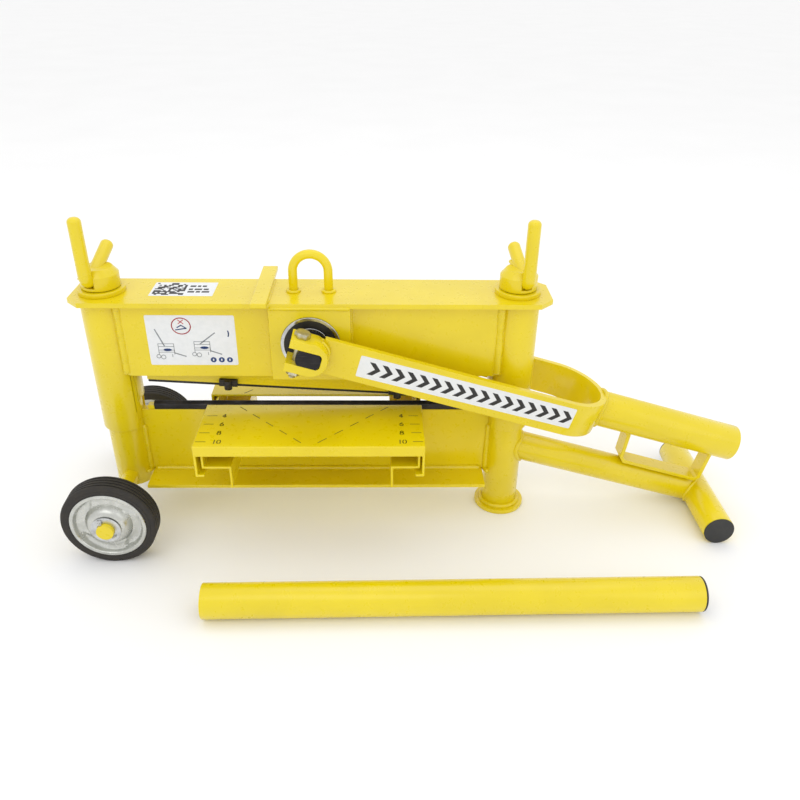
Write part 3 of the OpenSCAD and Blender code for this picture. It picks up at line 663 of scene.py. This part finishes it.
def wheel(side, body, tyre_node, rim_node):
    low, high = low_high(tyre_node)
    hub = (low + high) / 2
    origin = at(hub.x, hub.y, hub.z)
    radius = (high.z - low.z) / 2
    half = (high.y - low.y) / 2
    rim_r = 46.8
    axis = (0, side, 0)

    tread = []
    for h in GROOVES_MM:
        tread += [(radius, h - 1.1), (radius - 1.7, h - 0.6), (radius - 1.7, h + 0.6),
                  (radius, h + 1.1)]
    shoulder = [(rim_r, half - 2.4), (rim_r + 0.6, half - 0.5), (rim_r + 2.2, half),
                (rim_r + 4.8, half - 0.3), (rim_r + 5.4, half - 0.9), (rim_r + 8.4, half - 0.9),
                (radius - 1.6, half - 1.3), (radius - 0.5, half - 2.4), (radius, half - 3.6)]
    profile = ([(r, -h) for r, h in shoulder] + tread
               + [(r, h) for r, h in reversed(shoulder)])
    mesh = bmesh.new()
    lathe(mesh, profile, origin, axis, 128)
    tyre = piece(tyre_node + "_rubber", mesh, body, RUBBER, 32.0)
    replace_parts(tyre, tyre_node)

    # pressed dish: a flat ring, a swirled dish with four vanes, and a dome
    front = [(46.75, half - 0.2), (46.0, half + 0.3), (42.6, half + 0.3), (41.4, half - 1.0),
             (40.2, half - 5.5), (38.6, half - 7.6), (36.5, half - 8.2), (34.0, half - 8.0),
             (31.5, half - 7.4), (29.2, half - 6.0), (27.6, half - 3.4), (26.2, half - 0.6),
             (24.2, half + 2.2), (21.2, half + 4.2), (17.6, half + 5.0), (14.1, half + 5.1)]
    sheet = 1.6
    back = [(r - (0.9 if h < half - 1.2 and r > 38 else 0), h - sheet) for r, h in front]
    back[0] = (46.75, -half + 2.2)
    back[1] = (45.0, -half + 2.2)
    back[2] = (41.6, half - 4.0)

    def swirl(r, h, angle):
        if not 28.5 < r < 40.5:
            return r, h
        fade = min(1, (r - 28.5) / 3) * min(1, (40.5 - r) / 2)
        t = (angle / math.tau * 4 + (r - 28) * 0.018) % 1.0
        lift = 2.6 * (t / 0.9 if t < 0.9 else (1 - t) / 0.1)
        return r, h + lift * fade

    mesh = bmesh.new()
    lathe(mesh, front + list(reversed(back)), origin, axis, 160, swirl)
    rim = piece(rim_node + "_pressing", mesh, body, RIM_ZINC, 30.0)
    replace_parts(rim, rim_node)


wheel(-1, "front_wheel", "front_tyre", "front_rim")
wheel(1, "rear_wheel", "rear_tyre", "rear_rim")

# split pins: an eye, a doubled shank through the axle, and two bent legs
axle_low, axle_high = low_high("axle")
AXLE_R = (axle_high.z - axle_low.z) / 2
PIN_TILT = math.radians(-24)
mesh = bmesh.new()
for side in (-1, 1):
    hole = Vector((-COLUMN_X, side * (axle_high.y - 2.6), (axle_high.z + axle_low.z) / 2))
    up = Vector((math.sin(PIN_TILT), 0, math.cos(PIN_TILT)))
    across = Vector((up.z, 0, -up.x))
    out = Vector((0, side, 0))
    for leg in (-1, 1):
        path = []
        for deg in range(0, 181, 15):
            a = math.radians(deg)
            path.append(hole + up * (AXLE_R + 3.6 + 2.6 * math.cos(a)) + across * leg * 2.3 * math.sin(a))
        path += [hole + up * (AXLE_R - 1) + across * leg * 0.75,
                 hole - up * (AXLE_R + 0.5) + across * leg * 0.75,
                 hole - up * (AXLE_R + 1.8) + across * leg * 1.6,
                 hole - up * (AXLE_R + 2.4) + across * leg * 5.0,
                 hole - up * (AXLE_R + 1.6) + across * leg * 7.6]
        points = resample([at(p.x, p.y, p.z) for p in path], 0.5 * MM, False)
        sweep(mesh, points, lambda i: 0.78 * MM, sides=10)
pins = piece("split_pins", mesh, "base", ZINC, 60.0)
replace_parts(pins, "cotter_pins")


# ---------- bolts, nuts and springs ----------

def hexagon(mesh, base, axis, flat_mm, height_mm, chamfer_mm=1.0, hole_mm=None):
    """A hexagon head or nut with chamfered corners, standing on base."""
    axis = Vector(axis).normalized()
    side = Vector((0, 1, 0))
    up = axis.cross(side)
    count = 72

    def ring(h, limit):
        points = []
        for i in range(count):
            a = math.tau * i / count
            corner = math.radians((math.degrees(a) + 30) % 60 - 30)
            r = min(flat_mm / math.cos(corner), limit)
            points.append(base + (side * math.cos(a) * r + up * math.sin(a) * r + axis * h) * MM)
        return points

    wide, narrow = flat_mm * 1.2, flat_mm * 0.98
    rings = [ring(0, narrow), ring(chamfer_mm * 0.6, wide), ring(height_mm - chamfer_mm, wide),
             ring(height_mm, narrow)]
    skin(mesh, rings)


def threaded(mesh, start, axis, radius_mm, length_mm, pitch_mm):
    """A bolt's threaded end: fine rings with a chamfered tip."""
    outline = [(0.01, 0), (radius_mm * 0.86, 0)]
    h = 0.0
    while h + pitch_mm < length_mm - 1:
        outline += [(radius_mm * 0.87, h + 0.1 * pitch_mm), (radius_mm, h + 0.55 * pitch_mm)]
        h += pitch_mm
    outline += [(radius_mm * 0.87, h), (radius_mm * 0.8, length_mm), (0.01, length_mm)]
    lathe(mesh, outline, start, axis, 40)


CLAMP_BOLT_S = -13
CLAMP_OUTSIDE = 21
BOLT_R = 5
mesh = bmesh.new()
nuts = bmesh.new()
for side in (-1, 1):
    y = FORK_Y + side * CLAMP_GAP
    hexagon(mesh, lever_at(CLAMP_BOLT_S, y, CLAMP_OUTSIDE), ACROSS, 8.4, 6.4)
    shank = [(0.01, 0), (BOLT_R, 0), (BOLT_R, 2 * CLAMP_OUTSIDE), (0.01, 2 * CLAMP_OUTSIDE)]
    lathe(mesh, shank, lever_at(CLAMP_BOLT_S, y, -CLAMP_OUTSIDE), ACROSS, 40)
    threaded(mesh, lever_at(CLAMP_BOLT_S, y, -CLAMP_OUTSIDE), -ACROSS, BOLT_R, 12.8, 1.5)
    hexagon(nuts, lever_at(CLAMP_BOLT_S, y, -CLAMP_OUTSIDE), -ACROSS, 8.4, 7.8)
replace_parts(piece("clamp_hex_bolts", mesh, "lever", BOLT_ZINC, 28.0), "clamp_bolts")
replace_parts(piece("clamp_hex_nuts", nuts, "lever", BOLT_ZINC, 28.0), "clamp_nuts")

spring_low, spring_high = low_high("return_springs")
SPRING_TURNS = 11
mesh = bmesh.new()
for x in (spring_low.x + 7, spring_high.x - 7):
    path = []
    steps = SPRING_TURNS * 20
    for i in range(steps + 1):
        a = math.tau * SPRING_TURNS * i / steps
        z = spring_low.z + 1.4 + (spring_high.z - spring_low.z - 2.8) * i / steps
        path.append(at(x + 5.5 * math.cos(a), 5.5 * math.sin(a), z))
    sweep(mesh, path, lambda i: 1.3 * MM, sides=10)
coil = piece("return_coil_springs", mesh, "upper_frame", SPRING, 80.0)
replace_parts(coil, "return_springs")
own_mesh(coil)


# ---------- labels and the tables' cut marks ----------

def slab(mesh, outline, place, base_mm, top_mm):
    """A thin prism over an outline of (u, v) millimetres."""
    skin(mesh, [[place(u, v, base_mm) for u, v in outline], [place(u, v, top_mm) for u, v in outline]])


def stroke(mesh, points, width, place, base_mm, top_mm):
    """A drawn line: one thin bar for each straight stretch, with overlapping ends."""
    for (u0, v0), (u1, v1) in zip(points, points[1:]):
        length = math.hypot(u1 - u0, v1 - v0) or 1
        du, dv = (u1 - u0) / length, (v1 - v0) / length
        su, sv = -dv * width / 2, du * width / 2
        eu, ev = du * width * 0.3, dv * width * 0.3
        slab(mesh, [(u0 - eu + su, v0 - ev + sv), (u0 - eu - su, v0 - ev - sv),
                    (u1 + eu - su, v1 + ev - sv), (u1 + eu + su, v1 + ev + sv)],
             place, base_mm, top_mm)


def arc(cu, cv, ru, rv, start=0, end=360, step=20):
    return [(cu + ru * math.cos(math.radians(d)), cv + rv * math.sin(math.radians(d)))
            for d in range(start, end + 1, step)]


def rounded(u0, v0, u1, v1, r=2.0):
    """Outline of a rectangle with rounded corners."""
    out = []
    for cu, cv, start in ((u1 - r, v1 - r, 0), (u0 + r, v1 - r, 90), (u0 + r, v0 + r, 180),
                          (u1 - r, v0 + r, 270)):
        out += arc(cu, cv, r, r, start, start + 90, 30)
    return out


FILM_MM = 0.16
INK_MM = 0.24

DIGITS = {
    "4": [[(3.4, 0), (3.4, 7.6), (0.2, 2.9)], [(1.2, 2.2), (5, 2.2)]],
    "6": [arc(2.5, 2.4, 2.2, 2.3, -150, 150), [(0.4, 3.2), (1.4, 5.6), (3.4, 7.8)]],
    "8": [arc(2.5, 2.1, 2.2, 2.0, -70, 250), arc(2.5, 5.9, 1.8, 1.8, -70, 250)],
    "1": [[(2.6, 0), (2.6, 7.8)]],
    "0": [arc(2.5, 3.9, 2.2, 3.8, -70, 70), arc(2.5, 3.9, 2.2, 3.8, 110, 250)],
}
MARK_MM = 0.12


def table_marks(name, node, body, facing):
    """Slots cut through the sheet: a scale at each side and a dashed 90 degree V, drawn as thin dark slabs
    whose colour is painted shade inside the open slots.
    """
    low, high = low_high(node)
    middle = (low.x + high.x) / 2
    mesh = bmesh.new()

    def place(u, v, w):
        return at(middle + facing * u, facing * v, high.z + w)

    for side in (-1, 1):
        for label, depth in (("4", 40), ("6", 60), ("8", 80), ("10", 100)):
            start = side * 121.5 + side * 1.2 * (depth - 40) / 20
            stroke(mesh, [(start, -depth), (start + side * 12, -depth)], 0.9, place, -0.5, MARK_MM)
            width = 5.2 * len(label)
            for i, digit in enumerate(label):
                u = side * 112 - width / 2 + 5.6 * i
                for line in DIGITS[digit]:
                    stroke(mesh, [(u + a, -depth - 4 + b) for a, b in line], 1.15, place, -0.5, MARK_MM)
        for i in range(5):
            far, near = 95.5 - 18.9 * i, 95.5 - 18.9 * i - 9.6
            stroke(mesh, [(side * far, -18 - 18.7 * i), (side * near, -27.4 - 18.7 * i)],
                   1.0, place, -0.5, MARK_MM)
    piece(name, mesh, body, SLOT_PAINTED_SHADE, 60.0)


table_marks("front_table_marks", "front_table", "front_support", 1)
table_marks("rear_table_marks", "rear_table", "rear_support", -1)


def machine_sketch(mesh, place, u, v, size, lift):
    """A small line drawing of the machine, with its lever raised by lift degrees."""
    def line(points, width=0.7):
        stroke(mesh, [(u + a * size, v + b * size) for a, b in points], width, place, FILM_MM, INK_MM)

    line([(0, 0), (0, 15), (20, 15), (20, 0)])
    line([(0, 11), (20, 11)])
    line([(0, 3), (20, 3), (20, 6), (0, 6)])
    line(arc(-1, -3, 2.6, 2.6, 0, 360, 30))
    line(arc(5, -4, 2.9, 2.9, 0, 360, 30))
    line([(20, 2), (34, -3)], 1.4)
    line([(17, 0), (17, -4)])
    a = math.radians(lift)
    line([(8, 12), (8 + 25 * math.cos(a), 12 + 25 * math.sin(a))], 1.5)


def web_label():
    low, high = low_high("front_web")
    u0, u1, v0, v1 = -198.6, -91.4, 231.3, 298.2

    def place(u, v, w):
        return at(u, low.y - w, v)

    film, grey, red, dark = (bmesh.new() for _ in range(4))
    slab(film, rounded(u0, v0, u1, v1), place, 0, FILM_MM)
    machine_sketch(grey, place, -187, 246, 0.95, 112)
    machine_sketch(grey, place, -143, 249, 0.95, 38)
    stroke(red, arc(-156, 284, 11.3, 10.6, 0, 360, 12), 1.3, place, FILM_MM, INK_MM)
    stroke(dark, [(-163, 279), (-150, 281), (-156, 285), (-161, 282)], 1.4, place, FILM_MM, INK_MM)
    stroke(red, [(-159, 287), (-153, 292)], 1.0, place, FILM_MM, INK_MM)
    stroke(red, [(-159, 292), (-153, 287)], 1.0, place, FILM_MM, INK_MM)
    for u, v in ((-176, 252), (-131, 255)):
        slab(dark, arc(u, v, 5.2, 1.9, 0, 330, 30), place, FILM_MM, INK_MM)
    for i in range(3):
        slab(dark, arc(-121.5 + 10 * i, 238.5, 3.7, 3.6, 0, 340, 20), place, FILM_MM, INK_MM)
        slab(film, arc(-121.5 + 10 * i, 238.5, 0.9, 1.8, 0, 300, 60), place, INK_MM, INK_MM + 0.05)
    stroke(dark, arc(-111, 274, 11, 11, -20, 20, 10), 1.5, place, FILM_MM, INK_MM)
    for name, mesh, material in (("web_label_film", film, FILM), ("web_label_sketches", grey, PRINT_GREY),
                                 ("web_label_red", red, PRINT_RED), ("web_label_dark", dark, PRINT_BLUE)):
        piece(name, mesh, "upper_frame", material, 60.0)


web_label()


def top_label():
    low, high = low_high("top_plate")

    def place(u, v, w):
        return at(u, v, high.z + w)

    film, dark = bmesh.new(), bmesh.new()
    slab(film, rounded(-193.5, -16.5, -117, 26.6, 1.0), place, 0, FILM_MM)
    pitch = 2.9
    for i in range(13):
        for j in range(13):
            if rng.random() < 0.52:
                u, v = -190.5 + i * pitch, -13.5 + j * pitch
                slab(dark, [(u, v), (u + pitch, v), (u + pitch, v + pitch), (u, v + pitch)],
                     place, FILM_MM, INK_MM)
    for row, lengths in ((-6, (8, 5, 9)), (2, (5, 9, 6)), (12, (7, 4, 5))):
        u = -149
        for length in lengths:
            slab(dark, [(u, row), (u + length, row), (u + length, row + 4.6), (u, row + 4.6)],
                 place, FILM_MM, INK_MM)
            u += length + 2
    piece("top_label_film", film, "upper_frame", FILM, 60.0)
    piece("top_label_print", dark, "upper_frame", PRINT_BLACK, 60.0)


top_label()


def arm_label():
    """White strip along the front arm, with a row of plain black arrows."""
    face_y = fork_low.y
    tilt = math.radians(0.6)

    def place(u, v, w):
        s, n = 60.5 + u * math.cos(tilt) - v * math.sin(tilt), u * math.sin(tilt) + v * math.cos(tilt) - 0.2
        return lever_at(s, face_y - w, n)

    film, dark = bmesh.new(), bmesh.new()
    slab(film, rounded(0, -14.4, 278.5, 14.4, 1.5), place, 0, FILM_MM)
    u = 12
    while u < 262:
        slab(dark, [(u, -8.5), (u + 7, -8.5), (u + 15.5, 0), (u + 7, 8.5), (u, 8.5), (u + 8.5, 0)],
             place, FILM_MM, INK_MM)
        u += 15.6
    piece("arm_label_film", film, "lever", FILM, 60.0)
    piece("arm_label_print", dark, "lever", PRINT_BLACK, 60.0)


arm_label()


# ---------- camera, light and floor ----------

CAMERA_MM = (84.13, -890.5, 684.0)
YAW, PITCH, ROLL = 1.68, 30.24, 0.88
camera_data = bpy.data.cameras.new("camera")
camera_data.lens = 35.12
camera_data.sensor_width = 36.0
camera_data.clip_end = 200.0
camera = bpy.data.objects.new("camera", camera_data)
bpy.context.scene.collection.objects.link(camera)
camera.matrix_world = (Matrix.Translation(at(*CAMERA_MM))
                       @ Matrix.Rotation(math.radians(-YAW), 4, "Z")
                       @ Matrix.Rotation(math.radians(90 - PITCH), 4, "X")
                       @ Matrix.Rotation(math.radians(ROLL), 4, "Z"))
bpy.context.scene.camera = camera


def area_light(name, place, target, size, watts):
    data = bpy.data.lights.new(name, "AREA")
    data.shape = "RECTANGLE"
    data.size, data.size_y = size
    data.energy = watts
    obj = bpy.data.objects.new(name, data)
    bpy.context.scene.collection.objects.link(obj)
    obj.location = Vector(place)
    obj.rotation_euler = (Vector(target) - Vector(place)).to_track_quat("-Z", "Y").to_euler()
    return obj


TARGET = at(120, 0, 180)
area_light("key_softbox", (-0.7, -1.5, 2.0), TARGET, (1.8, 1.2), 6)
area_light("fill_softbox", (1.7, -1.3, 1.3), TARGET, (1.4, 1.4), 3)
area_light("top_softbox", (0.1, 0.5, 2.3), TARGET, (2.4, 1.4), 7)

world = bpy.data.worlds.new("studio_white")
bpy.context.scene.world = world
world.use_nodes = True
world.node_tree.nodes["Background"].inputs["Color"].default_value = (1.0, 1.0, 1.0, 1.0)
world.node_tree.nodes["Background"].inputs["Strength"].default_value = 1.0
bpy.context.scene.view_settings.view_transform = "Standard"

floor_mesh = bmesh.new()
skin(floor_mesh, [[Vector((x, y, -0.0002)) for y in (-30.0, 60.0)] for x in (-50.0, 50.0)],
     closed_ring=False)
floor_data = bpy.data.meshes.new("studio_floor")
floor_mesh.to_mesh(floor_data)
floor_mesh.free()
floor = bpy.data.objects.new("studio_floor", floor_data)
bpy.context.scene.collection.objects.link(floor)
paper, paper_tree, paper_surface = new_material("white_studio_paper")
cloud = add(paper_tree, "ShaderNodeTexNoise",
            {"Vector": object_place(paper_tree), "Scale": 1 / 300, "Detail": 2.0})
paper_colour = add(paper_tree, "ShaderNodeMix", {"Factor": cloud.outputs["Fac"],
                                                 FIRST: "FBFBFB", SECOND: "F6F6F6"},
                   data_type="RGBA")
paper_tree.links.new(paper_colour.outputs[MIXED], paper_surface.inputs["Base Color"])
paper_surface.inputs["Roughness"].default_value = 0.9
floor_data.materials.append(paper)
